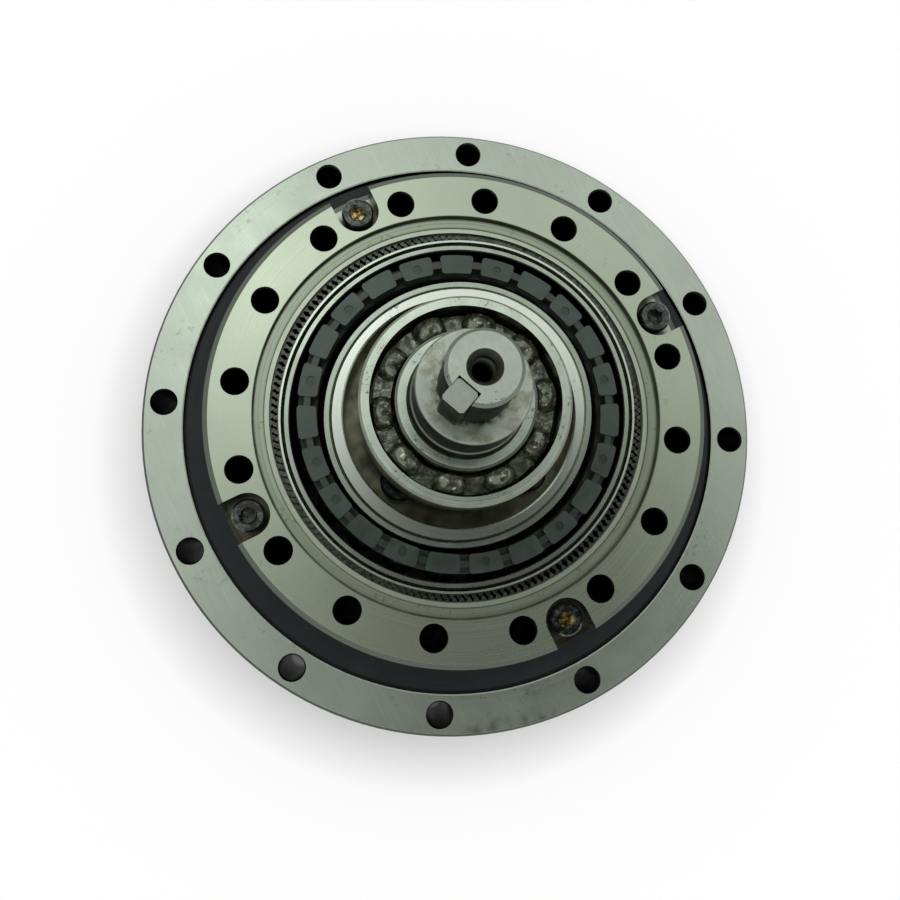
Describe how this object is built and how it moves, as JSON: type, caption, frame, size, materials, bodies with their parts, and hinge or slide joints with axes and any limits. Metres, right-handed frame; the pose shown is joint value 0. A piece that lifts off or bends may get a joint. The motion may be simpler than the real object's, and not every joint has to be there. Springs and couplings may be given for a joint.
{
  "type": "robot gear reducer",
  "caption": "Strain wave gear reducer with a flanged crossed roller bearing, toothed output ring, oval wave generator and a keyed input shaft on an open ball bearing.",
  "frame": {"origin": "on the shaft axis at the rear mounting face of the flexspline flange, on which the part lies", "axes": "+Z along the input shaft towards its keyed end; +X and +Y through the four pocket screws of the output ring"},
  "size_m": [0.09, 0.09, 0.0549],
  "materials": {
    "ring_steel": "ground pale grey steel",
    "spline_steel": "ground pale grey steel, slightly warm",
    "flex_steel": "fine turned spring steel",
    "race_steel": "polished bearing steel",
    "ball_steel": "polished bearing steel",
    "ribbon_steel": "greasy pressed steel",
    "plug_steel": "turned steel with an oil film",
    "shaft_steel": "ground steel, slightly worn",
    "screw_steel": "black oxide with oil",
    "cage_polymer": "matte dark grey polymer",
    "seal_rubber": "matte black rubber"
  },
  "bodies": {
    "case": {"outer_ring": "ring_steel", "flexspline": "flex_steel", "oil_seal": "seal_rubber", "filling_plug": "ring_steel", "filling_plug_pin": "ball_steel", "flange_screws": "screw_steel"},
    "output": {"circular_spline": "spline_steel", "bearing_inner_ring": "spline_steel", "assembly_screws": "screw_steel"},
    "roller_set": {"cross_rollers": "ball_steel", "roller_spacers": "cage_polymer"},
    "wave_generator": {"input_shaft": "shaft_steel", "shaft_key": "shaft_steel", "spacer_sleeve": "plug_steel", "wave_plug": "plug_steel", "wave_plug_screws": "screw_steel", "wave_inner_race": "race_steel", "wave_outer_race": "race_steel", "front_bearing_inner_ring": "race_steel", "rear_bearing_inner_ring": "race_steel"},
    "wave_ball_set": {"wave_bearing_balls": "ball_steel", "wave_bearing_cage": "cage_polymer"},
    "front_bearing_outer": {"front_bearing_outer_ring": "race_steel"},
    "front_ball_set": {"front_bearing_balls": "ball_steel", "front_bearing_cage": "ribbon_steel"},
    "rear_bearing_outer": {"rear_bearing_outer_ring": "race_steel"},
    "rear_ball_set": {"rear_bearing_balls": "ball_steel", "rear_bearing_cage": "ribbon_steel"}
  },
  "joints": [
    {"name": "input_spin", "type": "hinge", "parent": "case", "child": "wave_generator", "pos_m": [0, 0, 0.0245], "axis": [0, 0, 1], "continuous": true, "deforming": ["flexspline"]},
    {"name": "output_spin", "type": "hinge", "parent": "case", "child": "output", "pos_m": [0, 0, 0.0105], "axis": [0, 0, 1], "continuous": true},
    {"name": "roller_orbit", "type": "hinge", "parent": "case", "child": "roller_set", "pos_m": [0, 0, 0.0105], "axis": [0, 0, 1], "continuous": true},
    {"name": "wave_ball_orbit", "type": "hinge", "parent": "case", "child": "wave_ball_set", "pos_m": [0, 0, 0.0245], "axis": [0, 0, 1], "continuous": true},
    {"name": "front_bearing_spin", "type": "hinge", "parent": "wave_generator", "child": "front_bearing_outer", "pos_m": [0, 0, 0.0335], "axis": [0, 0, 1], "continuous": true},
    {"name": "front_ball_orbit", "type": "hinge", "parent": "wave_generator", "child": "front_ball_set", "pos_m": [0, 0, 0.0335], "axis": [0, 0, 1], "continuous": true},
    {"name": "rear_bearing_spin", "type": "hinge", "parent": "wave_generator", "child": "rear_bearing_outer", "pos_m": [0, 0, 0.0075], "axis": [0, 0, 1], "continuous": true},
    {"name": "rear_ball_orbit", "type": "hinge", "parent": "wave_generator", "child": "rear_ball_set", "pos_m": [0, 0, 0.0075], "axis": [0, 0, 1], "continuous": true}
  ],
  "couplings": [
    {"joint": "output_spin", "follows": "input_spin", "ratio": 0.012346},
    {"joint": "roller_orbit", "follows": "input_spin", "ratio": 0.0059234},
    {"joint": "wave_ball_orbit", "follows": "input_spin", "ratio": 0.44095},
    {"joint": "front_ball_orbit", "follows": "front_bearing_spin", "ratio": 0.59132},
    {"joint": "rear_ball_orbit", "follows": "rear_bearing_spin", "ratio": 0.62222}
  ]
}
